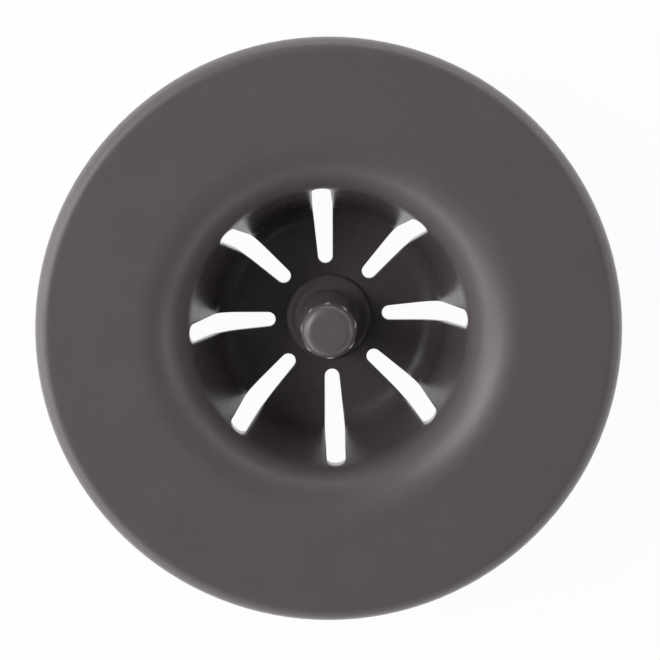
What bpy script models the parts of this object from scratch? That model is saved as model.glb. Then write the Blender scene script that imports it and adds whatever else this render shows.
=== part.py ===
"""Drain strainer: a soft flanged basket with radial slots and a round grip knob.

The strainer stands on its floor's underside at z = 0, and its axis is the Z axis.
The soft moulding is one continuous skin. It is modelled as three solids, the flange,
the basket wall and the basket floor, because the wall rolls inside out while the
floor and the knob travel up through the mouth.
"""

import math

import bmesh
import bpy

MM = 0.001

# Sealing flange
FLANGE_DIAMETER = 114.0 * MM
FLANGE_THICKNESS = 4.0 * MM
RIM_ROUND_WIDTH = 2.8 * MM
RIM_ROUND_DEPTH = 3.6 * MM
RIM_UNDER_ROUND = 0.3 * MM

# Mouth, where the flange rolls down into the basket
WALL_TOP_DIAMETER = 54.4 * MM
MOUTH_FILLET = 10.4 * MM
WALL_LEAN = math.radians(14.5)

# Basket
BASKET_DEPTH = 28.8 * MM
WALL_THICKNESS = 1.2 * MM
FLOOR_THICKNESS = 2.0 * MM
HEEL_FILLET = 5.0 * MM

# Radial slots
SLOT_COUNT = 8
SLOT_INNER_WIDTH = 2.9 * MM
SLOT_HEEL_WIDTH = 3.95 * MM
SLOT_OUTER_WIDTH = 3.7 * MM
SLOT_OUTER_ROUND = 0.75 * MM
SLOT_CLEAR_OF_FOOT = 2.25 * MM
CUTTER_OVERRUN = 1.0 * MM

# Grip knob
KNOB_DIAMETER = 10.9 * MM
KNOB_TOP_ROUND = 2.3 * MM
KNOB_TOP_BELOW_FLANGE = 0.7 * MM
KNOB_ROOT_FILLET = 1.5 * MM
FOOT_DIAMETER = 16.8 * MM
FOOT_HEIGHT = 1.5 * MM
FOOT_ROUND = 1.3 * MM
STEM_DIAMETER = 6.4 * MM

# Backing plug, pressed up into the knob from below
PLUG_DISC_DIAMETER = 14.4 * MM
PLUG_DISC_THICKNESS = 0.7 * MM
PLUG_EDGE_ROUND = 0.2 * MM
PLUG_RECESS = 0.1 * MM
PLUG_PIN_DIAMETER = 3.0 * MM
PLUG_PIN_LENGTH = 11.0 * MM
PLUG_PIN_CHAMFER = 0.4 * MM

# Clearance between pieces that touch
SEAT_GAP = 0.3 * MM

# Fineness of the round shapes
RING_STEPS = 72
KNOB_STEPS = 36
PLUG_STEPS = 24
MOUTH_ARC_STEPS = 7
WALL_ARC_STEPS = 4
HEEL_ARC_STEPS = 5
RIM_ARC_STEPS = 5
SLOT_END_STEPS = 8
SMALL_ARC_STEPS = 4
SMOOTH_ANGLE = math.radians(38.0)

# Share of the mouth's roll that belongs to the flange, from the flat to the wall
FLANGE_ROLL_SHARE = 0.56

# Heights and radii that follow from the sizes above
FLANGE_TOP = FLOOR_THICKNESS + BASKET_DEPTH
FLANGE_RADIUS = FLANGE_DIAMETER / 2
WALL_TOP_RADIUS = WALL_TOP_DIAMETER / 2
ROLL_ANGLE = math.pi / 2 - WALL_LEAN
MOUTH_RADIUS = WALL_TOP_RADIUS + MOUTH_FILLET * math.sin(ROLL_ANGLE)
MOUTH_CENTRE_Z = FLANGE_TOP - MOUTH_FILLET
WALL_TOP_Z = MOUTH_CENTRE_Z + MOUTH_FILLET * math.cos(ROLL_ANGLE)
WALL_FOOT_RADIUS = WALL_TOP_RADIUS - (WALL_TOP_Z - FLOOR_THICKNESS) * math.tan(WALL_LEAN)
HEEL_CENTRE_RADIUS = WALL_FOOT_RADIUS - HEEL_FILLET * math.tan(ROLL_ANGLE / 2)
HEEL_CENTRE_Z = FLOOR_THICKNESS + HEEL_FILLET
FOOT_RADIUS = FOOT_DIAMETER / 2
FOOT_UNDER_Z = FLOOR_THICKNESS + SEAT_GAP
FOOT_TOP_Z = FOOT_UNDER_Z + FOOT_HEIGHT
KNOB_TOP_Z = FLANGE_TOP - KNOB_TOP_BELOW_FLANGE
STEM_RADIUS = STEM_DIAMETER / 2
PLUG_DISC_TOP_Z = PLUG_RECESS + PLUG_DISC_THICKNESS
PLUG_POCKET_Z = PLUG_DISC_TOP_Z + SEAT_GAP
PLUG_POCKET_RADIUS = PLUG_DISC_DIAMETER / 2 + SEAT_GAP
PLUG_PIN_RADIUS = PLUG_PIN_DIAMETER / 2


def clear_scene():
    """Remove whatever the scene holds."""
    for item in list(bpy.data.objects):
        bpy.data.objects.remove(item, do_unlink=True)


def plastic(name, colour, roughness):
    """Make a plain moulded material."""
    material = bpy.data.materials.new(name)
    material.use_nodes = True
    shader = material.node_tree.nodes["Principled BSDF"]
    shader.inputs["Base Color"].default_value = (*colour, 1.0)
    shader.inputs["Roughness"].default_value = roughness
    shader.inputs["Metallic"].default_value = 0.0
    return material


def arc(centre, start_radius, end_radius, start, end, steps):
    """Points (radius, height) on an arc whose radius may change evenly along it."""
    points = []
    for step in range(steps + 1):
        share = step / steps
        radius = start_radius + (end_radius - start_radius) * share
        angle = start + (end - start) * share
        points.append((centre[0] + radius * math.cos(angle), centre[1] + radius * math.sin(angle)))
    return points


def skin_thickness_at(share):
    """Thickness of the skin along the mouth's roll, from the flange (0) to the wall (1)."""
    return FLANGE_THICKNESS + (WALL_THICKNESS - FLANGE_THICKNESS) * share


def roll_points(start_share, end_share, steps, under=False):
    """Points on the mouth's roll, on its upper face or on its underside."""
    centre = (MOUTH_RADIUS, MOUTH_CENTRE_Z)
    start_radius = MOUTH_FILLET
    end_radius = MOUTH_FILLET
    if under:
        start_radius -= skin_thickness_at(start_share)
        end_radius -= skin_thickness_at(end_share)
    start = math.pi / 2 + ROLL_ANGLE * start_share
    end = math.pi / 2 + ROLL_ANGLE * end_share
    return arc(centre, start_radius, end_radius, start, end, steps)


def heel_points(under=False):
    """Points on the heel between floor and wall, from the floor outwards."""
    centre = (HEEL_CENTRE_RADIUS, HEEL_CENTRE_Z)
    start_radius = HEEL_FILLET
    end_radius = HEEL_FILLET
    if under:
        start_radius += FLOOR_THICKNESS
        end_radius += WALL_THICKNESS
    return arc(centre, start_radius, end_radius, -math.pi / 2, -WALL_LEAN, HEEL_ARC_STEPS)


def turned(name, outline, steps, material):
    """Turn a closed outline of (radius, height) points round the Z axis into a solid."""
    shape = bmesh.new()
    verts = [shape.verts.new((radius, 0.0, height)) for radius, height in outline]
    edges = [shape.edges.new((verts[i - 1], verts[i])) for i in range(len(verts))]
    bmesh.ops.spin(
        shape,
        geom=verts + edges,
        cent=(0.0, 0.0, 0.0),
        axis=(0.0, 0.0, 1.0),
        angle=2 * math.pi,
        steps=steps,
        use_merge=True,
        use_duplicate=False,
    )
    merge_distance = SEAT_GAP / 100
    bmesh.ops.remove_doubles(shape, verts=shape.verts, dist=merge_distance)
    bmesh.ops.dissolve_degenerate(shape, edges=shape.edges, dist=merge_distance)
    bmesh.ops.recalc_face_normals(shape, faces=shape.faces)
    return finish_mesh(name, shape, material)


def finish_mesh(name, shape, material):
    """Store a bmesh as an object of its own, shaded smooth up to its real corners."""
    mesh = bpy.data.meshes.new(name)
    shape.to_mesh(mesh)
    shape.free()
    mesh.shade_smooth()
    mesh.set_sharp_from_angle(angle=SMOOTH_ANGLE)
    mesh.materials.append(material)
    item = bpy.data.objects.new(name, mesh)
    bpy.context.scene.collection.objects.link(item)
    return item


def slot_half_outline():
    """One side of a slot in plan, from its inner tip out to its outer tip."""
    inner_half = SLOT_INNER_WIDTH / 2
    heel_half = SLOT_HEEL_WIDTH / 2
    outer_half = SLOT_OUTER_WIDTH / 2
    inner_centre = FOOT_RADIUS + SLOT_CLEAR_OF_FOOT + inner_half
    outer_centre = WALL_TOP_RADIUS - SLOT_OUTER_ROUND
    points = []
    for step in range(SLOT_END_STEPS):
        angle = math.pi - math.pi / 2 * step / SLOT_END_STEPS
        points.append((inner_centre + inner_half * math.cos(angle), inner_half * math.sin(angle)))
    points.append((inner_centre, inner_half))
    points.append((WALL_FOOT_RADIUS, heel_half))
    for step in range(SLOT_END_STEPS + 1):
        angle = math.pi / 2 - math.pi / 2 * step / SLOT_END_STEPS
        points.append((outer_centre + SLOT_OUTER_ROUND * math.cos(angle), outer_half * math.sin(angle)))
    return points


def slot_cutter(material):
    """All the slots as upright prisms, which cut the wall and the floor alike."""
    side = slot_half_outline()
    outline = side + [(x, -y) for x, y in reversed(side[1:-1])]
    low = -CUTTER_OVERRUN
    high = FLANGE_TOP + CUTTER_OVERRUN
    shape = bmesh.new()
    for slot in range(SLOT_COUNT):
        turn = 2 * math.pi * slot / SLOT_COUNT
        cosine = math.cos(turn)
        sine = math.sin(turn)
        base = []
        for x, y in outline:
            base.append(shape.verts.new((x * cosine - y * sine, x * sine + y * cosine, low)))
        face = shape.faces.new(base)
        grown = bmesh.ops.extrude_face_region(shape, geom=[face])
        lifted = [item for item in grown["geom"] if isinstance(item, bmesh.types.BMVert)]
        bmesh.ops.translate(shape, verts=lifted, vec=(0.0, 0.0, high - low))
    bmesh.ops.recalc_face_normals(shape, faces=shape.faces)
    cutter = finish_mesh("slot_cutter", shape, material)
    cutter.hide_render = True
    cutter.display_type = "WIRE"
    return cutter


def cut_with(item, cutter):
    """Cut an object with another, exactly."""
    modifier = item.modifiers.new("slots", "BOOLEAN")
    modifier.operation = "DIFFERENCE"
    modifier.solver = "EXACT"
    modifier.object = cutter


def sealing_flange(material):
    """The flat ring that lies on the sink, with its rounded rim and the top of the mouth's roll."""
    under_z = FLANGE_TOP - FLANGE_THICKNESS
    rim_top = []
    for x, z in arc((0.0, 0.0), 1.0, 1.0, math.pi / 2, 0.0, RIM_ARC_STEPS):
        inwards = RIM_ROUND_WIDTH * (1.0 - x)
        downwards = RIM_ROUND_DEPTH * (1.0 - z)
        rim_top.append((FLANGE_RADIUS - inwards, FLANGE_TOP - downwards))
    rim_under = arc(
        (FLANGE_RADIUS - RIM_UNDER_ROUND, under_z + RIM_UNDER_ROUND),
        RIM_UNDER_ROUND,
        RIM_UNDER_ROUND,
        0.0,
        -math.pi / 2,
        SMALL_ARC_STEPS // 2,
    )
    roll_top = roll_points(0.0, FLANGE_ROLL_SHARE, MOUTH_ARC_STEPS)
    roll_under = roll_points(0.0, FLANGE_ROLL_SHARE, MOUTH_ARC_STEPS, under=True)
    outline = list(reversed(roll_top)) + rim_top + rim_under + roll_under
    return turned("sealing_flange", outline, RING_STEPS, material)


def basket_wall(material, cutter):
    """The leaning wall under the mouth, with an uncut ring at its top and slots below."""
    gap_share = SEAT_GAP / (MOUTH_FILLET * ROLL_ANGLE)
    start_share = FLANGE_ROLL_SHARE + gap_share
    top = roll_points(start_share, 1.0, WALL_ARC_STEPS)
    under = roll_points(start_share, 1.0, WALL_ARC_STEPS, under=True)
    inner_foot = heel_points()[-1]
    outer_foot = heel_points(under=True)[-1]
    along_r = SEAT_GAP * math.sin(WALL_LEAN)
    along_z = SEAT_GAP * math.cos(WALL_LEAN)
    inner_end = (inner_foot[0] + along_r, inner_foot[1] + along_z)
    outer_end = (outer_foot[0] + along_r, outer_foot[1] + along_z)
    outline = top + [inner_end, outer_end] + list(reversed(under))
    wall = turned("basket_wall", outline, RING_STEPS, material)
    cut_with(wall, cutter)
    return wall


def basket_floor(material, cutter):
    """The slotted floor with its heel, its stem hole and the pocket for the backing plug."""
    hole_radius = STEM_RADIUS + SEAT_GAP
    outline = [(hole_radius, PLUG_POCKET_Z), (hole_radius, FLOOR_THICKNESS)]
    outline += heel_points()
    outline += list(reversed(heel_points(under=True)))
    outline += [(PLUG_POCKET_RADIUS, 0.0), (PLUG_POCKET_RADIUS, PLUG_POCKET_Z)]
    floor = turned("basket_floor", outline, RING_STEPS, material)
    cut_with(floor, cutter)
    return floor


def grip_knob(material):
    """The post that is pinched to lift the strainer, with its foot and its bored stem."""
    radius = KNOB_DIAMETER / 2
    bore_radius = PLUG_PIN_RADIUS + SEAT_GAP
    bore_top = PLUG_DISC_TOP_Z + PLUG_PIN_LENGTH + SEAT_GAP
    stem_under = PLUG_DISC_TOP_Z + SEAT_GAP
    top_round = arc(
        (radius - KNOB_TOP_ROUND, KNOB_TOP_Z - KNOB_TOP_ROUND),
        KNOB_TOP_ROUND,
        KNOB_TOP_ROUND,
        math.pi / 2,
        0.0,
        RIM_ARC_STEPS,
    )
    root = arc(
        (radius + KNOB_ROOT_FILLET, FOOT_TOP_Z + KNOB_ROOT_FILLET),
        KNOB_ROOT_FILLET,
        KNOB_ROOT_FILLET,
        math.pi,
        math.pi * 3 / 2,
        SMALL_ARC_STEPS,
    )
    foot_edge = arc(
        (FOOT_RADIUS - FOOT_ROUND, FOOT_TOP_Z - FOOT_ROUND),
        FOOT_ROUND,
        FOOT_ROUND,
        math.pi / 2,
        0.0,
        SMALL_ARC_STEPS,
    )
    outline = [(0.0, KNOB_TOP_Z)] + top_round + root + foot_edge
    outline += [(FOOT_RADIUS, FOOT_UNDER_Z), (STEM_RADIUS, FOOT_UNDER_Z), (STEM_RADIUS, stem_under)]
    outline += [(bore_radius, stem_under), (bore_radius, bore_top), (0.0, bore_top)]
    return turned("grip_knob", outline, KNOB_STEPS, material)


def knob_backing_plug(material):
    """The disc and pin that clamp the floor's middle against the knob's foot."""
    disc_radius = PLUG_DISC_DIAMETER / 2
    pin_top = PLUG_DISC_TOP_Z + PLUG_PIN_LENGTH
    edge = arc(
        (disc_radius - PLUG_EDGE_ROUND, PLUG_RECESS + PLUG_EDGE_ROUND),
        PLUG_EDGE_ROUND,
        PLUG_EDGE_ROUND,
        0.0,
        -math.pi / 2,
        SMALL_ARC_STEPS // 2,
    )
    outline = [(0.0, pin_top), (PLUG_PIN_RADIUS - PLUG_PIN_CHAMFER, pin_top)]
    outline += [(PLUG_PIN_RADIUS, pin_top - PLUG_PIN_CHAMFER), (PLUG_PIN_RADIUS, PLUG_DISC_TOP_Z)]
    outline += [(disc_radius, PLUG_DISC_TOP_Z)] + edge + [(0.0, PLUG_RECESS)]
    return turned("knob_backing_plug", outline, PLUG_STEPS, material)


def basket_carrier():
    """The empty that the travelling pieces hang on. It lies on the line they travel along."""
    carrier = bpy.data.objects.new("basket_travel", None)
    carrier.location = (0.0, 0.0, FLOOR_THICKNESS)
    bpy.context.scene.collection.objects.link(carrier)
    return carrier


def hang_on(carrier, item):
    """Parent an object to the carrier and keep it where it is."""
    item.parent = carrier
    item.location = (0.0, 0.0, -carrier.location.z)


def build():
    clear_scene()
    silicone = plastic("charcoal_silicone", (0.100, 0.083, 0.093), 0.42)
    knob_plastic = plastic("charcoal_gloss", (0.100, 0.083, 0.093), 0.22)
    cutter = slot_cutter(silicone)
    sealing_flange(silicone)
    basket_wall(silicone, cutter)
    carrier = basket_carrier()
    hang_on(carrier, basket_floor(silicone, cutter))
    hang_on(carrier, grip_knob(knob_plastic))
    hang_on(carrier, knob_backing_plug(knob_plastic))


build()
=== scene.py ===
"""Looks of the drain strainer: its one-piece silicone skin, the grip knob and the backing plug."""
import math

import bmesh
import bpy
import numpy as np
from mathutils import Matrix, Vector


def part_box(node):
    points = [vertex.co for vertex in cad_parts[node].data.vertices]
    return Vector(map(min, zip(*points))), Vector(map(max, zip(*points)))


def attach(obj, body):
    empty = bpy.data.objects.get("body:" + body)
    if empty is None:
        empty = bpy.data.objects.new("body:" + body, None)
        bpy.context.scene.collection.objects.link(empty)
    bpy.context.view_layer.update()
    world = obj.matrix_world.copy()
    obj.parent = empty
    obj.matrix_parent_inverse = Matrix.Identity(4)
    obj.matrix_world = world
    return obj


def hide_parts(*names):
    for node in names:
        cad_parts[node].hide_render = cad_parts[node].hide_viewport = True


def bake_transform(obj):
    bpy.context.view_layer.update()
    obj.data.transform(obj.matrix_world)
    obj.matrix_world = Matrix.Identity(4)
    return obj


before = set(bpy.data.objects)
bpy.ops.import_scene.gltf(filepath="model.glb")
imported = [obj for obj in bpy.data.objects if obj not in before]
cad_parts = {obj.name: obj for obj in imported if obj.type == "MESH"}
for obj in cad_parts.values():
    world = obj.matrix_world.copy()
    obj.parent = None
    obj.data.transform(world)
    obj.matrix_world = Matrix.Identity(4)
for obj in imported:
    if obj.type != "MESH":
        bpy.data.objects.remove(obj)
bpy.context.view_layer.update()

MM = 0.001

# Skin: the sizes that shape its section, as the frame's solids have them
MOUTH_FILLET = 10.4 * MM
HEEL_FILLET = 5.0 * MM
WALL_LEAN = math.radians(14.5)
WALL_TOP_RADIUS = 27.2 * MM
WALL_THICKNESS = 1.2 * MM
FLOOR_THICKNESS = 2.0 * MM
FLANGE_THICKNESS = 4.0 * MM
RIM_ROUND_WIDTH = 2.8 * MM
RIM_ROUND_DEPTH = 3.6 * MM
RIM_UNDER_ROUND = 0.3 * MM

# Slots in plan, and how near a point lies to count as on a slot's edge
SLOT_COUNT = 8
SLOT_INNER_END = 10.65 * MM
SLOT_INNER_HALF = 1.45 * MM
SLOT_HEEL_HALF = 1.975 * MM
SLOT_OUTER_HALF = 1.85 * MM
SLOT_OUTER_ROUND = 0.75 * MM
SLOT_EDGE_ROUND = 0.22 * MM
ON_SLOT_EDGE = 0.055 * MM

# One slot's cell of the skin, which eight copies close into a ring
CELL_INNER_RADIUS = 9.3 * MM
CELL_OUTER_RADIUS = 29.6 * MM
END_COLUMNS = 16
SIDE_COLUMNS = 44
TIP_COLUMNS = 12
CELL_LOOPS = 10
CELL_LOOP_SPREAD = 1.25
EDGE_LOOPS = 4

# Where the hub's hole and pocket lie
HOLE_RADIUS = 3.5 * MM
POCKET_RADIUS = 7.5 * MM
POCKET_DEPTH = 1.1 * MM
POCKET_EDGE_ROUND = 0.15 * MM

# Knob, its foot and stem, and the plug below the floor
KNOB_RADIUS = 5.45 * MM
KNOB_TOP_ROUND = 2.3 * MM
KNOB_ROOT_FILLET = 1.5 * MM
FOOT_HEIGHT = 1.5 * MM
FOOT_ROUND = 1.3 * MM
FOOT_UNDER_ROUND = 0.1 * MM
SEAT_GAP = 0.3 * MM
STEM_RADIUS = 3.2 * MM
BORE_RADIUS = 1.8 * MM
BORE_TOP = 12.1 * MM
PLUG_DISC_THICKNESS = 0.7 * MM
PLUG_EDGE_ROUND = 0.2 * MM
PLUG_PIN_RADIUS = 1.5 * MM
PLUG_PIN_CHAMFER = 0.4 * MM
DIMPLE_RADIUS = 1.1 * MM
DIMPLE_DEPTH = 0.15 * MM
KNOB_COLUMNS = 96
KNOB_TOP_RINGS = (0.25, 0.6, 0.97)
KNOB_SIDE_RINGS = 8
HOLDING_STEP = 0.2 * MM
SMOOTH_ANGLE = math.radians(40.0)

# How closely the sections are drawn: steps along arcs, rings on flats, and how many fine points to a ring
FINE_STEP = math.radians(1.0)
ROUND_STEP = math.radians(5.0)
FOOT_STEP = math.radians(6.0)
EDGE_STEP = math.radians(10.0)
SMALL_EDGE_STEP = math.radians(15.0)
COARSE_STEP = math.radians(30.0)
FLANGE_TOP_RINGS = 12
FLANGE_UNDER_RINGS = 6
MOUTH_SKIP = 4
FACE_SAMPLES = 400
PROBE_STEP = 0.05 * MM
CLOSE = 0.01 * MM

# Charcoal colours: the skin at its darkest, which is painted shade on the basket's wall, and at its
# lightest; the knob's foot, darkened as painted shade, and its top; and a speck of lint
SKIN_DARK = (0.066, 0.055, 0.061)
SKIN_LIGHT = (0.108, 0.090, 0.101)
KNOB_DARK = (0.080, 0.066, 0.074)
KNOB_LIGHT = (0.110, 0.091, 0.103)
LINT = (0.20, 0.19, 0.19)

# How much lighter than its darkest the skin gets by its clouds, and on its flange and its floor: the
# basket's wall is left darkest as painted shade, and the floor is lifted only partly out of it
TONE_OF_CLOUDS = 0.25
FLANGE_LIFT_FROM_PAINTED_SHADE = 0.74
FLOOR_LIFT_FROM_PAINTED_SHADE = 0.38

# Silicone: finely matted by the mould on the flange, smoother in the basket, smoothest where it is cut
FLANGE_ROUGHNESS = 0.41
BASKET_ROUGHNESS = 0.25
SLOT_FACE_ROUGHNESS = 0.07
# These heights also bound where the basket wall's painted shade gives way to the lighter flange
MATTING_AND_SHADE_END_LOW = 2.0 * MM
MATTING_AND_SHADE_END_HIGH = 3.0 * MM
SILICONE_IOR = 1.50
CLOUD_SIZE = 9.0 * MM
CLOUD_SHARE = 0.6
PATCH_SIZE = 1.6 * MM
PATCH_ROUGHNESS = 0.10
GRAIN_SIZE = 0.20 * MM
GRAIN_DEPTH = 0.004 * MM
GRAIN_ROUGHNESS = 0.08
SWELL_SIZE = 4.0 * MM
SWELL_DEPTH = 0.02 * MM
LINT_SPACING = 7.0 * MM
LINT_RADIUS = 0.14 * MM
LINT_SHARE = 0.3

# Rim: matted more coarsely where it rounds, with a soft polish that grows towards its edge,
# which starts and is full at these distances from the edge
RIM_ROUGHNESS = 0.54
RIM_MATTING_BAND = 0.8 * MM
RIM_POLISH = 0.85
RIM_POLISH_ROUGHNESS = 0.35
RIM_POLISH_START = 2.4 * MM
RIM_POLISH_FULL = 0.6 * MM

# Knob plastic: a polished side, and a softly matted foot and top, the top down to these depths below it
KNOB_SIDE_ROUGHNESS = 0.08
KNOB_TOP_ROUGHNESS = 0.35
FOOT_ROUGHNESS = 0.60
# The side's polish starts at these heights, where the foot's painted shade also gives way to the lighter
# side
POLISH_AND_SHADE_END_START_Z = 5.0 * MM
POLISH_AND_SHADE_END_FULL_Z = 6.0 * MM
TOP_MATTING_START = 1.6 * MM
TOP_MATTING_FULL = 0.5 * MM
KNOB_IOR = 1.54
# The share of the knob's tone that its clouds give; the rest lifts the side and top out of the foot's
# painted shade
KNOB_CLOUDS = 0.3
FLOW_SIZE = 3.0 * MM
FLOW_DEPTH = 0.006 * MM
RUB_SIZE = 0.7 * MM
RUB_ROUGHNESS = 0.04
POLISH_GRAIN_SIZE = 0.10 * MM
POLISH_GRAIN_DEPTH = 0.0005 * MM

# Noise: its middle, where a tone is fully dark or light, and its finer layers and their strength
NOISE_MIDDLE = 0.5
TONE_LOW = 0.3
TONE_HIGH = 0.7
SMOOTH_DETAIL = 1.0
PLAIN_DETAIL = 2.0
RICH_DETAIL = 3.0
PLAIN_LAYERS = 0.5
STRONG_LAYERS = 0.6

# Floor and room: to a reflection the backdrop is white up to one height over the horizon and ends at another
FLOOR_WIDTH = 4.0
FLOOR_DROP = 0.05 * MM
FLOOR_COLOUR = (0.86, 0.86, 0.86)
FLOOR_WHITE_SHARE = 0.96
ROOM_LIGHT = 0.08
BACKDROP_FULL = 0.04
BACKDROP_END = 0.16
OPAQUE = 1.0
WHITE = (1.0, 1.0, 1.0, OPAQUE)

# Soft panels: name, azimuth and elevation in degrees, distance, width and height in metres, watts
SOFT_PANELS = (
    ("right_back_skimming", 45.0, 2.5, 1.62, 1.26, 0.13, 1.96),
    ("left_skimming", 180.0, 2.5, 1.62, 1.26, 0.13, 2.88),
    ("back_low", 90.0, 8.0, 1.62, 1.26, 0.29, 3.92),
    ("right_low", 0.0, 19.0, 1.62, 1.26, 0.40, 1.64),
    ("right_back_low", 45.0, 19.0, 1.62, 1.26, 0.40, 3.83),
    ("left_low", 180.0, 19.0, 1.62, 1.26, 0.40, 6.85),
    ("left_front_low", 225.0, 19.0, 1.62, 1.26, 0.40, 6.83),
    ("front_low", 270.0, 19.0, 1.62, 1.26, 0.40, 1.54),
    ("right_front_low", 315.0, 19.0, 1.62, 1.26, 0.40, 3.61),
    ("right_fill", 0.0, 30.0, 1.62, 0.72, 0.43, 2.81),
    ("left_back_wing", 140.0, 32.0, 1.62, 0.54, 0.32, 3.50),
    ("left_wing", 165.0, 32.0, 1.62, 0.54, 0.32, 2.13),
    ("left_front_wing", 215.0, 32.0, 1.62, 0.54, 0.32, 1.67),
    ("left_back_high", 140.0, 45.0, 1.62, 0.54, 0.32, 1.77),
    ("left_key", 165.0, 45.0, 1.62, 0.54, 0.32, 6.61),
    ("left_front_high", 190.0, 45.0, 1.62, 0.54, 0.32, 2.05),
    ("left_top", 165.0, 60.0, 1.62, 0.54, 0.32, 1.25),
)

# Camera: angles in degrees, its lens and sensor in millimetres, and the point that it looks at
PICTURE_TURN = 3.2
CAMERA_TILT = 6.5
CAMERA_DISTANCE = 860.0 * MM
CAMERA_LENS = 241.9
SENSOR_WIDTH = 36.0
SIGHT_HEIGHT = 28.55 * MM
SIGHT_RIGHT = 0.26 * MM
SIGHT_UP = 0.204 * MM
SIGHT_START = 10.0 * MM
SIGHT_END = 10.0

# The flange's edge and top, where the frame has them
FLANGE_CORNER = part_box("sealing_flange")[1]
FLANGE_RADIUS = FLANGE_CORNER.x
FLANGE_TOP = FLANGE_CORNER.z
FLOOR_TOP = FLOOR_THICKNESS

# Places on the section that follow from the sizes
ROLL_ANGLE = math.pi / 2 - WALL_LEAN
MOUTH_RADIUS = WALL_TOP_RADIUS + MOUTH_FILLET * math.sin(ROLL_ANGLE)
MOUTH_CENTRE_Z = FLANGE_TOP - MOUTH_FILLET
WALL_TOP_Z = MOUTH_CENTRE_Z + MOUTH_FILLET * math.cos(ROLL_ANGLE)
WALL_FOOT_RADIUS = WALL_TOP_RADIUS - (WALL_TOP_Z - FLOOR_TOP) * math.tan(WALL_LEAN)
HEEL_CENTRE_RADIUS = WALL_FOOT_RADIUS - HEEL_FILLET * math.tan(ROLL_ANGLE / 2)
HEEL_CENTRE_Z = FLOOR_TOP + HEEL_FILLET

# Directions in the section, where out is away from the axis, and what levels a place in space
OUT = 0.0
UP = math.pi / 2
IN = math.pi
DOWN = -math.pi / 2
DOWN_FROM_IN = math.pi * 3 / 2
LEVEL = (1.0, 1.0, 0.0)


def select_nothing():
    """Deselect every object."""
    bpy.ops.object.select_all(action="DESELECT")


def arc(centre, start_radius, end_radius, start, end, spacing=FINE_STEP):
    """Points (radius, height) on an arc whose radius may change evenly along it."""
    steps = round(abs(end - start) / spacing)
    points = []
    for step in range(steps + 1):
        share = step / steps
        radius = start_radius + (end_radius - start_radius) * share
        angle = start + (end - start) * share
        points.append((centre[0] + radius * math.cos(angle), centre[1] + radius * math.sin(angle)))
    return points


def round_edge(centre, radius, start, end, spacing):
    """Points (radius, height) on a quarter round of a fixed radius."""
    return arc(centre, radius, radius, start, end, spacing)


def section(under):
    """The skin's section from the axis outwards to the flat of the flange, as radii and heights."""
    heel_centre = (HEEL_CENTRE_RADIUS, HEEL_CENTRE_Z)
    mouth_centre = (MOUTH_RADIUS, MOUTH_CENTRE_Z)
    heel_start = HEEL_FILLET + (FLOOR_THICKNESS if under else 0.0)
    heel_end = HEEL_FILLET + (WALL_THICKNESS if under else 0.0)
    roll_start = MOUTH_FILLET - (WALL_THICKNESS if under else 0.0)
    roll_end = MOUTH_FILLET - (FLANGE_THICKNESS if under else 0.0)
    points = [(0.0, FLOOR_TOP - (FLOOR_THICKNESS if under else 0.0))]
    points += arc(heel_centre, heel_start, heel_end, DOWN, -WALL_LEAN)
    points += arc(mouth_centre, roll_start, roll_end, IN - WALL_LEAN, UP)
    points.append((FLANGE_RADIUS, points[-1][1]))
    return np.array(points)


SECTIONS = {False: section(False), True: section(True)}


def height_at(radius, under):
    """Height of the skin's upper face or underside at a radius."""
    points = SECTIONS[under]
    return float(np.interp(radius, points[:, 0], points[:, 1]))


def steepness_at(radius, under):
    """How much longer a small step on the face is than its step in plan."""
    rise = height_at(radius + PROBE_STEP, under) - height_at(radius - PROBE_STEP, under)
    return math.hypot(1.0, rise / (2 * PROBE_STEP))


def smooth(share):
    """A share eased at both ends."""
    return share * share * (3 - 2 * share)


def slot_half_width(radius):
    """Half the slot's width in plan at a radius."""
    start = SLOT_INNER_END + SLOT_INNER_HALF
    if radius < WALL_FOOT_RADIUS:
        share = (radius - start) / (WALL_FOOT_RADIUS - start)
        return SLOT_INNER_HALF + (SLOT_HEEL_HALF - SLOT_INNER_HALF) * share
    share = (radius - WALL_FOOT_RADIUS) / (WALL_TOP_RADIUS - SLOT_OUTER_ROUND - WALL_FOOT_RADIUS)
    return SLOT_HEEL_HALF + (SLOT_OUTER_HALF - SLOT_HEEL_HALF) * smooth(min(1.0, share))


def even_radii(outer, inner, count):
    """Radii from outer to inner at even steps along the skin's upper face."""
    points = SECTIONS[False]
    fine = np.linspace(inner, outer, FACE_SAMPLES)
    heights = np.interp(fine, points[:, 0], points[:, 1])
    lengths = np.concatenate(([0.0], np.cumsum(np.hypot(np.diff(fine), np.diff(heights)))))
    wanted = np.linspace(lengths[-1], 0.0, count + 1)
    return [float(v) for v in np.interp(wanted, lengths, fine)]


def slot_outline():
    """The slot's edge in plan, once round from the corner of its outer end, as (x, y)."""
    outer_centre = WALL_TOP_RADIUS - SLOT_OUTER_ROUND
    inner_centre = SLOT_INNER_END + SLOT_INNER_HALF
    points = []
    for step in range(END_COLUMNS):
        angle = math.pi / 2 - math.pi * step / END_COLUMNS
        points.append((outer_centre + SLOT_OUTER_ROUND * math.cos(angle), SLOT_OUTER_HALF * math.sin(angle)))
    side = even_radii(outer_centre, inner_centre, SIDE_COLUMNS)
    points += [(radius, -slot_half_width(radius)) for radius in side[:-1]]
    for step in range(TIP_COLUMNS):
        angle = -math.pi / 2 - math.pi * step / TIP_COLUMNS
        points.append((inner_centre + SLOT_INNER_HALF * math.cos(angle), SLOT_INNER_HALF * math.sin(angle)))
    points += [(radius, slot_half_width(radius)) for radius in reversed(side[1:])]
    return [Vector(point) for point in points]


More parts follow.
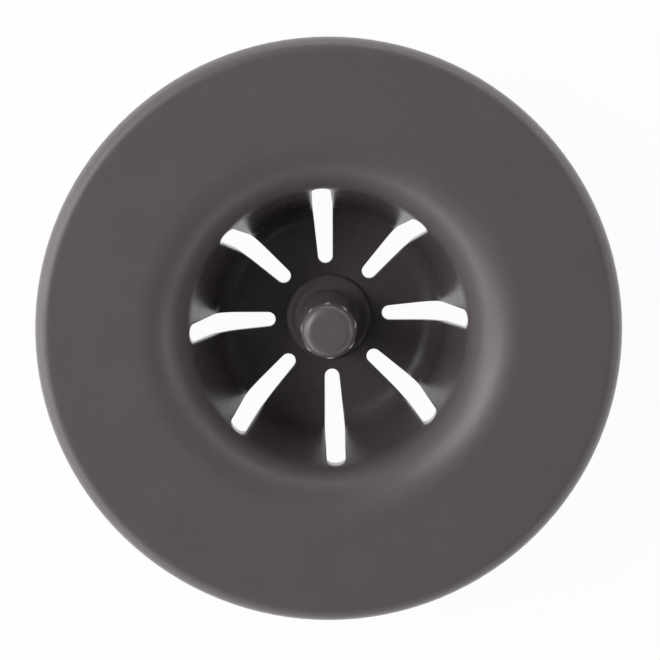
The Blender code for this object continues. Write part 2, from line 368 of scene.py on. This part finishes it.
def cell_outline():
    """The cell's edge in plan, with a point for each point of the slot's edge, as (radius, angle)."""
    half = math.pi / SLOT_COUNT
    side = even_radii(CELL_OUTER_RADIUS, CELL_INNER_RADIUS, SIDE_COLUMNS)
    points = []
    for step in range(END_COLUMNS):
        points.append((CELL_OUTER_RADIUS, half - 2 * half * step / END_COLUMNS))
    points += [(radius, -half) for radius in side[:-1]]
    for step in range(TIP_COLUMNS):
        points.append((CELL_INNER_RADIUS, -half + 2 * half * step / TIP_COLUMNS))
    points += [(radius, half) for radius in reversed(side[1:])]
    return points


def outward_normals(outline):
    """Directions in plan that point away from the slot at each point of its edge."""
    normals = []
    for i, point in enumerate(outline):
        along = outline[(i + 1) % len(outline)] - outline[i - 1]
        normals.append(Vector((-along.y, along.x)).normalized())
    return normals


def cell_loops():
    """Every loop of a cell, from the slot's edge to the cell's edge: points in plan, and how rounded."""
    outline = slot_outline()
    normals = outward_normals(outline)
    target = cell_outline()
    loops = []
    for step in range(EDGE_LOOPS):
        turn = math.pi / 2 * step / EDGE_LOOPS
        out = SLOT_EDGE_ROUND * (1 - math.cos(turn))
        down = SLOT_EDGE_ROUND * (1 - math.sin(turn))
        loops.append(([p + n * out for p, n in zip(outline, normals)], down))
    start = [p + n * SLOT_EDGE_ROUND for p, n in zip(outline, normals)]
    for step in range(CELL_LOOPS + 1):
        share = (step / CELL_LOOPS) ** CELL_LOOP_SPREAD
        points = []
        for near, (radius, angle) in zip(start, target):
            r = near.length + (radius - near.length) * share
            a = math.atan2(near.y, near.x)
            a += (angle - a) * share
            points.append(Vector((r * math.cos(a), r * math.sin(a))))
        loops.append((points, 0.0))
    return loops


def edit_mesh(item):
    """The bmesh of the object in edit mode."""
    return bmesh.from_edit_mesh(item.data)


def place_loop(item, points, sink, under):
    """Put the selected loop's vertices, by their column numbers, onto the skin's face."""
    shape = edit_mesh(item)
    column = shape.verts.layers.int["column"]
    for vert in shape.verts:
        if vert.select:
            point = points[vert[column]]
            radius = point.length
            lift = sink * steepness_at(radius, under) * (1 if under else -1)
            vert.co = (point.x, point.y, height_at(radius, under) + lift)
    bmesh.update_edit_mesh(item.data)


def cell_sheet(name, loops, under):
    """One face of a cell: a circle laid on the slot's edge, then extruded loop by loop outwards."""
    select_nothing()
    bpy.ops.mesh.primitive_circle_add(vertices=len(loops[0][0]), radius=WALL_TOP_RADIUS)
    item = bpy.context.object
    item.name = name
    numbers = item.data.attributes.new("column", "INT", "POINT")
    numbers.data.foreach_set("value", list(range(len(loops[0][0]))))
    bpy.ops.object.mode_set(mode="EDIT")
    bpy.ops.mesh.select_all(action="SELECT")
    place_loop(item, *loops[0], under)
    for points, sink in loops[1:]:
        bpy.ops.mesh.extrude_edges_move()
        place_loop(item, points, sink, under)
    bpy.ops.object.mode_set(mode="OBJECT")
    return item


def join(items, name):
    """Join objects into one mesh."""
    select_nothing()
    for item in items:
        item.select_set(True)
    bpy.context.view_layer.objects.active = items[0]
    bpy.ops.object.join()
    items[0].name = name
    items[0].data.name = name
    return items[0]


def select_edges(item, wanted):
    """Select just the boundary edges whose two ends meet a condition."""
    bpy.ops.mesh.select_all(action="DESELECT")
    bpy.ops.mesh.select_mode(type="EDGE")
    shape = edit_mesh(item)
    for edge in shape.edges:
        edge.select = edge.is_boundary and all(wanted(vert.co) for vert in edge.verts)
    shape.select_flush_mode()
    bmesh.update_edit_mesh(item.data)


def slot_cell():
    """A whole cell: upper face, underside and the slot's upright walls between them."""
    loops = cell_loops()
    sheets = [cell_sheet("cell_top", loops, False), cell_sheet("cell_under", loops, True)]
    cell = join(sheets, "strainer_skin")
    edge = slot_outline()
    on_edge = [min((vert.co.xy - p).length for p in edge) < ON_SLOT_EDGE for vert in cell.data.vertices]
    marks = cell.data.attributes.new("slot_face", "FLOAT", "POINT")
    marks.data.foreach_set("value", [float(mark) for mark in on_edge])
    bpy.ops.object.mode_set(mode="EDIT")
    select_edges(cell, lambda co: min((co.xy - p).length for p in edge) < ON_SLOT_EDGE)
    bpy.ops.mesh.bridge_edge_loops()
    bpy.ops.object.mode_set(mode="OBJECT")
    return cell


def ring_of_cells(cell):
    """Copy the cell round the axis and merge the copies where they meet."""
    select_nothing()
    cell.select_set(True)
    bpy.context.view_layer.objects.active = cell
    bpy.ops.object.mode_set(mode="EDIT")
    copies = 1
    while copies < SLOT_COUNT:
        bpy.ops.mesh.select_all(action="SELECT")
        bpy.ops.mesh.duplicate()
        bpy.ops.transform.rotate(
            value=2 * math.pi * copies / SLOT_COUNT, orient_axis="Z", center_override=(0.0, 0.0, 0.0)
        )
        copies *= 2
    bpy.ops.mesh.select_all(action="SELECT")
    bpy.ops.mesh.remove_doubles(threshold=CLOSE)
    bpy.ops.object.mode_set(mode="OBJECT")


def extrude_ring(item, radius, height):
    """Extrude the selected ring of edges to another radius and height."""
    shape = edit_mesh(item)
    now = next(vert.co.copy() for vert in shape.verts if vert.select)
    bpy.ops.mesh.extrude_edges_move()
    grow = radius / now.xy.length
    bpy.ops.transform.resize(value=(grow, grow, 1.0), center_override=(0.0, 0.0, 0.0))
    bpy.ops.transform.translate(value=(0.0, 0.0, height - now.z))


def flange_rings():
    """Section of the flange from the upper face over the rim and back to the underside."""
    under_z = FLANGE_TOP - FLANGE_THICKNESS
    top = SECTIONS[False]
    under = SECTIONS[True]
    rings = [(r, z) for r, z in top if CELL_OUTER_RADIUS < r <= MOUTH_RADIUS][::MOUTH_SKIP]
    flat_start = MOUTH_RADIUS
    flat_end = FLANGE_RADIUS - RIM_ROUND_WIDTH
    flat = (flat_end - flat_start) / FLANGE_TOP_RINGS
    rings += [(flat_start + flat * step, FLANGE_TOP) for step in range(FLANGE_TOP_RINGS)]
    rim_round = round_edge((0.0, 0.0), 1.0, UP, OUT, ROUND_STEP)
    rings += [
        (flat_end + RIM_ROUND_WIDTH * x, FLANGE_TOP - RIM_ROUND_DEPTH * (1.0 - z)) for x, z in rim_round
    ]
    low_centre = (FLANGE_RADIUS - RIM_UNDER_ROUND, under_z + RIM_UNDER_ROUND)
    rings += round_edge(low_centre, RIM_UNDER_ROUND, OUT, DOWN, SMALL_EDGE_STEP)
    flat = (flat_start - flat_end) / FLANGE_UNDER_RINGS
    rings += [(flat_end + flat * step, under_z) for step in range(1, FLANGE_UNDER_RINGS)]
    rings += [(r, z) for r, z in reversed(under) if CELL_OUTER_RADIUS < r <= MOUTH_RADIUS][::MOUTH_SKIP]
    return rings


def hub_rings():
    """Section of the hub from the upper face down the stem's hole, out over the pocket and back."""
    pocket = (POCKET_RADIUS + POCKET_EDGE_ROUND, POCKET_EDGE_ROUND)
    rings = [(HOLE_RADIUS, FLOOR_TOP), (HOLE_RADIUS, POCKET_DEPTH), (POCKET_RADIUS, POCKET_DEPTH)]
    rings += round_edge(pocket, POCKET_EDGE_ROUND, IN, DOWN_FROM_IN, SMALL_EDGE_STEP)
    return rings


def close_between(item, rings, start, end_height):
    """Extrude a boundary of the upper face along rings, and end on the underside's boundary."""
    radius, height = start
    bpy.ops.object.mode_set(mode="EDIT")
    select_edges(item, lambda co: abs(co.xy.length - radius) < CLOSE and abs(co.z - height) < CLOSE)
    for ring in rings + [(radius, end_height)]:
        extrude_ring(item, *ring)
    bpy.ops.mesh.select_all(action="SELECT")
    bpy.ops.mesh.remove_doubles(threshold=CLOSE)
    bpy.ops.mesh.normals_make_consistent(inside=False)
    bpy.ops.object.mode_set(mode="OBJECT")


def strainer_skin():
    """The whole soft moulding in one closed mesh."""
    skin = slot_cell()
    ring_of_cells(skin)
    outer = (CELL_OUTER_RADIUS, height_at(CELL_OUTER_RADIUS, False))
    inner = (CELL_INNER_RADIUS, height_at(CELL_INNER_RADIUS, False))
    close_between(skin, flange_rings(), outer, height_at(CELL_OUTER_RADIUS, True))
    close_between(skin, hub_rings(), inner, height_at(CELL_INNER_RADIUS, True))
    skin.data.attributes.remove(skin.data.attributes["column"])
    bpy.ops.object.shade_smooth_by_angle(angle=SMOOTH_ANGLE)
    return skin


def turned_piece(name, rings, columns):
    """A closed piece turned about the axis: a circle extruded ring by ring along its section."""
    radius, height = rings[0]
    select_nothing()
    bpy.ops.mesh.primitive_circle_add(vertices=columns, radius=radius)
    item = bpy.context.object
    item.name = name
    item.data.name = name
    bpy.ops.object.mode_set(mode="EDIT")
    bpy.ops.mesh.select_mode(type="EDGE")
    bpy.ops.mesh.select_all(action="SELECT")
    bpy.ops.transform.translate(value=(0.0, 0.0, height))
    for ring in rings[1:]:
        extrude_ring(item, *ring)
    bpy.ops.mesh.select_all(action="SELECT")
    bpy.ops.mesh.fill_holes(sides=0)
    bpy.ops.mesh.normals_make_consistent(inside=False)
    bpy.ops.object.mode_set(mode="OBJECT")
    bpy.ops.object.shade_smooth_by_angle(angle=SMOOTH_ANGLE)
    return item


def knob_rings():
    """The knob's section: its top, its side, the foot, the stem and the bore up the stem."""
    low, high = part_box("grip_knob")
    foot_radius = high.x
    top = high.z
    foot_under = FLOOR_TOP + SEAT_GAP
    foot_top = foot_under + FOOT_HEIGHT
    shoulder = (KNOB_RADIUS - KNOB_TOP_ROUND, top - KNOB_TOP_ROUND)
    root = (KNOB_RADIUS + KNOB_ROOT_FILLET, foot_top + KNOB_ROOT_FILLET)
    foot_edge = (foot_radius - FOOT_ROUND, foot_top - FOOT_ROUND)
    rings = [(shoulder[0] * share, top) for share in KNOB_TOP_RINGS]
    rings += round_edge(shoulder, KNOB_TOP_ROUND, UP, OUT, ROUND_STEP)
    side_top = shoulder[1] - HOLDING_STEP
    side = (root[1] + HOLDING_STEP - side_top) / KNOB_SIDE_RINGS
    rings += [(KNOB_RADIUS, side_top + side * step) for step in range(KNOB_SIDE_RINGS + 1)]
    rings += round_edge(root, KNOB_ROOT_FILLET, IN, DOWN_FROM_IN, ROUND_STEP)
    rings.append(((root[0] + foot_edge[0]) / 2, foot_top))
    rings += round_edge(foot_edge, FOOT_ROUND, UP, OUT, FOOT_STEP)
    low_edge = (foot_radius - FOOT_UNDER_ROUND, foot_under + FOOT_UNDER_ROUND)
    rings += round_edge(low_edge, FOOT_UNDER_ROUND, OUT, DOWN, COARSE_STEP)
    rings += [(STEM_RADIUS, foot_under), (STEM_RADIUS, low.z)]
    rings += [(BORE_RADIUS, low.z), (BORE_RADIUS, BORE_TOP)]
    return rings


def plug_rings():
    """The backing plug's section: its pin, its disc and the shallow dimple in the disc's underside."""
    low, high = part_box("knob_backing_plug")
    edge = (high.x - PLUG_EDGE_ROUND, low.z + PLUG_EDGE_ROUND)
    disc_top = low.z + PLUG_DISC_THICKNESS
    rings = [(PLUG_PIN_RADIUS / 2, high.z), (PLUG_PIN_RADIUS - PLUG_PIN_CHAMFER, high.z)]
    rings += [(PLUG_PIN_RADIUS, high.z - PLUG_PIN_CHAMFER), (PLUG_PIN_RADIUS, disc_top)]
    rings += [(high.x, disc_top)]
    rings += round_edge(edge, PLUG_EDGE_ROUND, OUT, DOWN, EDGE_STEP)
    rings += [(DIMPLE_RADIUS + DIMPLE_DEPTH, low.z), (DIMPLE_RADIUS, low.z + DIMPLE_DEPTH)]
    rings += [(DIMPLE_RADIUS / 2, low.z + DIMPLE_DEPTH)]
    return rings


class Amount:
    """A number that varies over a surface, so that it can stand in a plain expression."""

    def __init__(self, finish, socket):
        self.finish = finish
        self.socket = socket

    def combine(self, operation, *others):
        """This amount and others through one Math node."""
        node = self.finish.add("ShaderNodeMath", {"operation": operation}, dict(enumerate((self,) + others)))
        return Amount(self.finish, node.outputs[0])

    def __add__(self, other):
        return self.combine("ADD", other)

    def __mul__(self, other):
        return self.combine("MULTIPLY", other)

    def __sub__(self, other):
        return self.combine("SUBTRACT", other)

    def __rsub__(self, other):
        return (self * -1.0) + other

    __radd__ = __add__
    __rmul__ = __mul__

    def above(self, low, high):
        """0 below low, 1 above high, and an even rise between them."""
        settings = {"clamp": True}
        inputs = {"Value": self, "From Min": low, "From Max": high, "To Min": 0.0, "To Max": 1.0}
        return Amount(self.finish, self.finish.add("ShaderNodeMapRange", settings, inputs).outputs[0])


class Sheet:
    """An empty node tree to add nodes to."""

    def __init__(self, tree):
        self.tree = tree
        self.tree.nodes.clear()

    def add(self, kind, settings=None, inputs=None):
        """A node of a type, with its settings and then the values or links of its sockets."""
        node = self.tree.nodes.new(kind)
        for key, value in (settings or {}).items():
            setattr(node, key, value)
        for key, value in (inputs or {}).items():
            self.feed(node.inputs[key], value)
        return node

    def feed(self, socket, value):
        """Link a socket to an amount or another socket, or give it a value."""
        if isinstance(value, Amount):
            value = value.socket
        if isinstance(value, bpy.types.NodeSocket):
            self.tree.links.new(value, socket)
        else:
            socket.default_value = value


class Finish(Sheet):
    """A node material and the few steps that its patterns are made with."""

    def __init__(self, name):
        self.material = bpy.data.materials.new(name)
        self.material.use_nodes = True
        super().__init__(self.material.node_tree)
        self.place = self.add("ShaderNodeTexCoord").outputs["Object"]

    def height(self):
        """Height above the origin, in metres."""
        parts = self.add("ShaderNodeSeparateXYZ", None, {"Vector": self.place})
        return Amount(self, parts.outputs["Z"])

    def reach(self):
        """Distance from the upright axis through the origin, in metres."""
        flat = self.add("ShaderNodeVectorMath", {"operation": "MULTIPLY"}, {0: self.place, 1: LEVEL})
        length = self.add("ShaderNodeVectorMath", {"operation": "LENGTH"}, {0: flat.outputs["Vector"]})
        return Amount(self, length.outputs["Value"])

    def mark(self, name):
        """A number that the mesh carries at each point."""
        return Amount(self, self.add("ShaderNodeAttribute", {"attribute_name": name}).outputs["Fac"])

    def noise(self, size, detail=PLAIN_DETAIL, layers=PLAIN_LAYERS):
        """Cloudy variation with blotches of a real size, from 0 to 1."""
        inputs = {"Vector": self.place, "Scale": 1.0 / size, "Detail": detail, "Roughness": layers}
        return Amount(self, self.add("ShaderNodeTexNoise", None, inputs).outputs[0])

    def specks(self, spacing, radius):
        """Sparse round specks, 1 at their middle: one in each cell of a grid of a real size."""
        inputs = {"Vector": self.place, "Scale": 1.0 / spacing, "Randomness": 1.0}
        near = self.add("ShaderNodeTexVoronoi", {"feature": "F1"}, inputs)
        return 1.0 - Amount(self, near.outputs["Distance"]).above(0.0, radius / spacing)

    def blend(self, share, low, high):
        """A colour between two others, each a fixed colour or another blend, by a share."""
        node = self.add("ShaderNodeMix", {"data_type": "RGBA"})
        names = [socket.name if socket.enabled else None for socket in node.inputs]
        for name, value in (("Factor", share), ("A", low), ("B", high)):
            colour = (*value, OPAQUE) if isinstance(value, tuple) else value
            self.feed(node.inputs[names.index(name)], colour)
        return next(socket for socket in node.outputs if socket.enabled)

    def bump(self, height, depth, below=None):
        """Relief of a real depth, laid over another relief."""
        inputs = {"Height": height, "Distance": depth, "Strength": 1.0}
        if below is not None:
            inputs["Normal"] = below
        return self.add("ShaderNodeBump", None, inputs).outputs["Normal"]

    def close(self, inputs):
        """The surface shader and the output."""
        shader = self.add("ShaderNodeBsdfPrincipled", None, inputs)
        self.add("ShaderNodeOutputMaterial", None, {"Surface": shader.outputs["BSDF"]})
        return self.material


def moulded_silicone():
    """Satin charcoal silicone: matted by the mould, polished on its rim, cloudy and with a little lint, and
    with painted shade darkening its basket's wall and partly its floor.
    """
    finish = Finish("satin_charcoal_silicone")
    patch = finish.noise(PATCH_SIZE)
    grain = finish.noise(GRAIN_SIZE, PLAIN_DETAIL, STRONG_LAYERS)
    lint = finish.specks(LINT_SPACING, LINT_RADIUS) * LINT_SHARE
    on_flange = finish.height().above(WALL_TOP_Z - MATTING_AND_SHADE_END_LOW, WALL_TOP_Z + MATTING_AND_SHADE_END_HIGH)
    cloud = finish.noise(CLOUD_SIZE, RICH_DETAIL) * CLOUD_SHARE + patch * (1.0 - CLOUD_SHARE)
    on_floor = 1.0 - finish.height().above(FLOOR_TOP, HEEL_CENTRE_Z)
    # Painted shade: the wall keeps the dark tone, the floor is lifted partly out of it and the flange fully
    tone_with_painted_shade = cloud.above(TONE_LOW, TONE_HIGH) * TONE_OF_CLOUDS + on_flange * FLANGE_LIFT_FROM_PAINTED_SHADE
    charcoal = finish.blend(tone_with_painted_shade + on_floor * FLOOR_LIFT_FROM_PAINTED_SHADE, SKIN_DARK, SKIN_LIGHT)
    rough = BASKET_ROUGHNESS + on_flange * (FLANGE_ROUGHNESS - BASKET_ROUGHNESS)
    rough = rough + (patch - NOISE_MIDDLE) * PATCH_ROUGHNESS
    rough = rough + (grain - NOISE_MIDDLE) * GRAIN_ROUGHNESS + lint
    reach = finish.reach()
    rim_start = FLANGE_RADIUS - RIM_ROUND_WIDTH
    rim = reach.above(rim_start, rim_start + RIM_MATTING_BAND)
    rough = rough + rim * (RIM_ROUGHNESS - FLANGE_ROUGHNESS)
    polish = reach.above(FLANGE_RADIUS - RIM_POLISH_START, FLANGE_RADIUS - RIM_POLISH_FULL) * RIM_POLISH
    cut = finish.mark("slot_face")
    swell = finish.bump(finish.noise(SWELL_SIZE, SMOOTH_DETAIL), SWELL_DEPTH)
    return finish.close(
        {
            "Base Color": finish.blend(lint, charcoal, LINT),
            "Roughness": rough * (1.0 - cut) + cut * SLOT_FACE_ROUGHNESS,
            "Normal": finish.bump(grain, GRAIN_DEPTH, swell),
            "IOR": SILICONE_IOR,
            "Coat Weight": polish,
            "Coat Roughness": RIM_POLISH_ROUGHNESS,
        }
    )


def moulded_knob_plastic():
    """Charcoal moulded plastic: a polished side, a softly matted foot and top, faintly rubbed by fingers,
    and with painted shade darkening its foot.
    """
    finish = Finish("charcoal_knob_plastic")
    flow = finish.noise(FLOW_SIZE)
    rub = finish.noise(RUB_SIZE, RICH_DETAIL, STRONG_LAYERS)
    height = finish.height()
    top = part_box("grip_knob")[1].z
    above_foot = height.above(POLISH_AND_SHADE_END_START_Z, POLISH_AND_SHADE_END_FULL_Z)
    # Painted shade: below these heights the foot keeps the dark colour, while the side and top are lighter
    tone_with_painted_shade = flow.above(TONE_LOW, TONE_HIGH) * KNOB_CLOUDS + above_foot * (1.0 - KNOB_CLOUDS)
    polished = above_foot * (KNOB_SIDE_ROUGHNESS - FOOT_ROUGHNESS)
    matted = height.above(top - TOP_MATTING_START, top - TOP_MATTING_FULL)
    matted = matted * (KNOB_TOP_ROUGHNESS - KNOB_SIDE_ROUGHNESS)
    grain = finish.noise(POLISH_GRAIN_SIZE, SMOOTH_DETAIL)
    return finish.close(
        {
            "Base Color": finish.blend(tone_with_painted_shade, KNOB_DARK, KNOB_LIGHT),
            "Roughness": FOOT_ROUGHNESS + polished + matted + (rub - NOISE_MIDDLE) * RUB_ROUGHNESS,
            "Normal": finish.bump(grain, POLISH_GRAIN_DEPTH, finish.bump(flow, FLOW_DEPTH)),
            "IOR": KNOB_IOR,
        }
    )


def seen_by(sheet, first, *others):
    """1 for light paths of the named kinds, and 0 for other light."""
    path = sheet.add("ShaderNodeLightPath")
    seen = Amount(sheet, path.outputs[first])
    for name in others:
        seen = seen.combine("MAXIMUM", Amount(sheet, path.outputs[name]))
    return seen


def pale_floor():
    """The pale floor that the strainer stands on, which keeps its soft shadow."""
    select_nothing()
    bpy.ops.mesh.primitive_plane_add(size=FLOOR_WIDTH, location=(0.0, 0.0, -FLOOR_DROP))
    floor = bpy.context.object
    floor.name = "studio_floor"
    finish = Finish("pale_floor_board")
    plain = finish.add("ShaderNodeBsdfDiffuse", None, {"Color": (*FLOOR_COLOUR, OPAQUE)})
    white = finish.add("ShaderNodeEmission", None, {"Color": WHITE, "Strength": 1.0})
    share = seen_by(finish, "Is Camera Ray", "Is Glossy Ray", "Is Transmission Ray") * FLOOR_WHITE_SHARE
    mixed = finish.add(
        "ShaderNodeMixShader", None, {0: share, 1: plain.outputs["BSDF"], 2: white.outputs["Emission"]}
    )
    finish.add("ShaderNodeOutputMaterial", None, {"Surface": mixed.outputs["Shader"]})
    floor.data.materials.append(finish.material)
    return floor


def picture_axes():
    """The photograph's right and its upward direction, laid on the floor."""
    turn = math.radians(PICTURE_TURN)
    return Vector((math.cos(turn), -math.sin(turn), 0.0)), Vector((math.sin(turn), math.cos(turn), 0.0))


def soft_panel(name, azimuth, elevation, distance, width, height, power):
    """A white soft panel that faces the strainer; azimuth runs anticlockwise from the picture's right."""
    right, up = picture_axes()
    a = math.radians(azimuth)
    e = math.radians(elevation)
    away = (right * math.cos(a) + up * math.sin(a)) * math.cos(e) + Vector((0.0, 0.0, math.sin(e)))
    data = bpy.data.lights.new(name, "AREA")
    data.shape = "RECTANGLE"
    data.size = width
    data.size_y = height
    data.energy = power
    lamp = bpy.data.objects.new(name, data)
    lamp.location = away * distance
    lamp.rotation_euler = away.to_track_quat("Z", "Y").to_euler()
    lamp.visible_camera = False
    bpy.context.scene.collection.objects.link(lamp)
    return lamp


def place_camera():
    """The camera at the photograph's view: almost straight down, a little from the picture's top."""
    right, up = picture_axes()
    tilt = math.radians(CAMERA_TILT)
    back = up * math.sin(tilt) + Vector((0.0, 0.0, math.cos(tilt)))
    aim = Vector((0.0, 0.0, SIGHT_HEIGHT)) + right * SIGHT_RIGHT + up * SIGHT_UP
    data = bpy.data.cameras.new("camera")
    data.sensor_width = SENSOR_WIDTH
    data.lens = CAMERA_LENS
    data.clip_start = SIGHT_START
    data.clip_end = SIGHT_END
    camera = bpy.data.objects.new("camera", data)
    camera.location = aim + back * CAMERA_DISTANCE
    camera.rotation_euler = Matrix((right, back.cross(right), back)).transposed().to_euler()
    bpy.context.scene.collection.objects.link(camera)
    bpy.context.scene.camera = camera


def studio_world():
    """Dim even room light, with a white backdrop for the camera and, near the floor, for reflections."""
    world = bpy.data.worlds.new("studio_world")
    world.use_nodes = True
    bpy.context.scene.world = world
    sky = Sheet(world.node_tree)
    place = sky.add("ShaderNodeTexCoord").outputs["Generated"]
    rise = Amount(sky, sky.add("ShaderNodeSeparateXYZ", None, {"Vector": place}).outputs["Z"])
    mirrored = seen_by(sky, "Is Glossy Ray", "Is Transmission Ray")
    seen = mirrored * (1.0 - rise.above(BACKDROP_FULL, BACKDROP_END))
    seen = seen.combine("MAXIMUM", seen_by(sky, "Is Camera Ray"))
    room = sky.add("ShaderNodeBackground", None, {"Color": WHITE, "Strength": ROOM_LIGHT})
    backdrop = sky.add("ShaderNodeBackground", None, {"Color": WHITE, "Strength": 1.0})
    mixed = sky.add("ShaderNodeMixShader", None, {0: seen, 1: room.outputs[0], 2: backdrop.outputs[0]})
    sky.add("ShaderNodeOutputWorld", None, {"Surface": mixed.outputs[0]})


skin = strainer_skin()
skin.data.materials.append(moulded_silicone())
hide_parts("sealing_flange", "basket_wall", "basket_floor")
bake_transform(skin)

knob_finish = moulded_knob_plastic()
for name, rings, replaced in (
    ("pinch_knob", knob_rings(), "grip_knob"),
    ("backing_plug", plug_rings(), "knob_backing_plug"),
):
    turned_part = turned_piece(name, rings, KNOB_COLUMNS)
    turned_part.data.materials.append(knob_finish)
    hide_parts(replaced)
    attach(turned_part, "basket")

pale_floor()
studio_world()
place_camera()
for panel in SOFT_PANELS:
    soft_panel(*panel)
bpy.context.scene.view_settings.view_transform = "Standard"
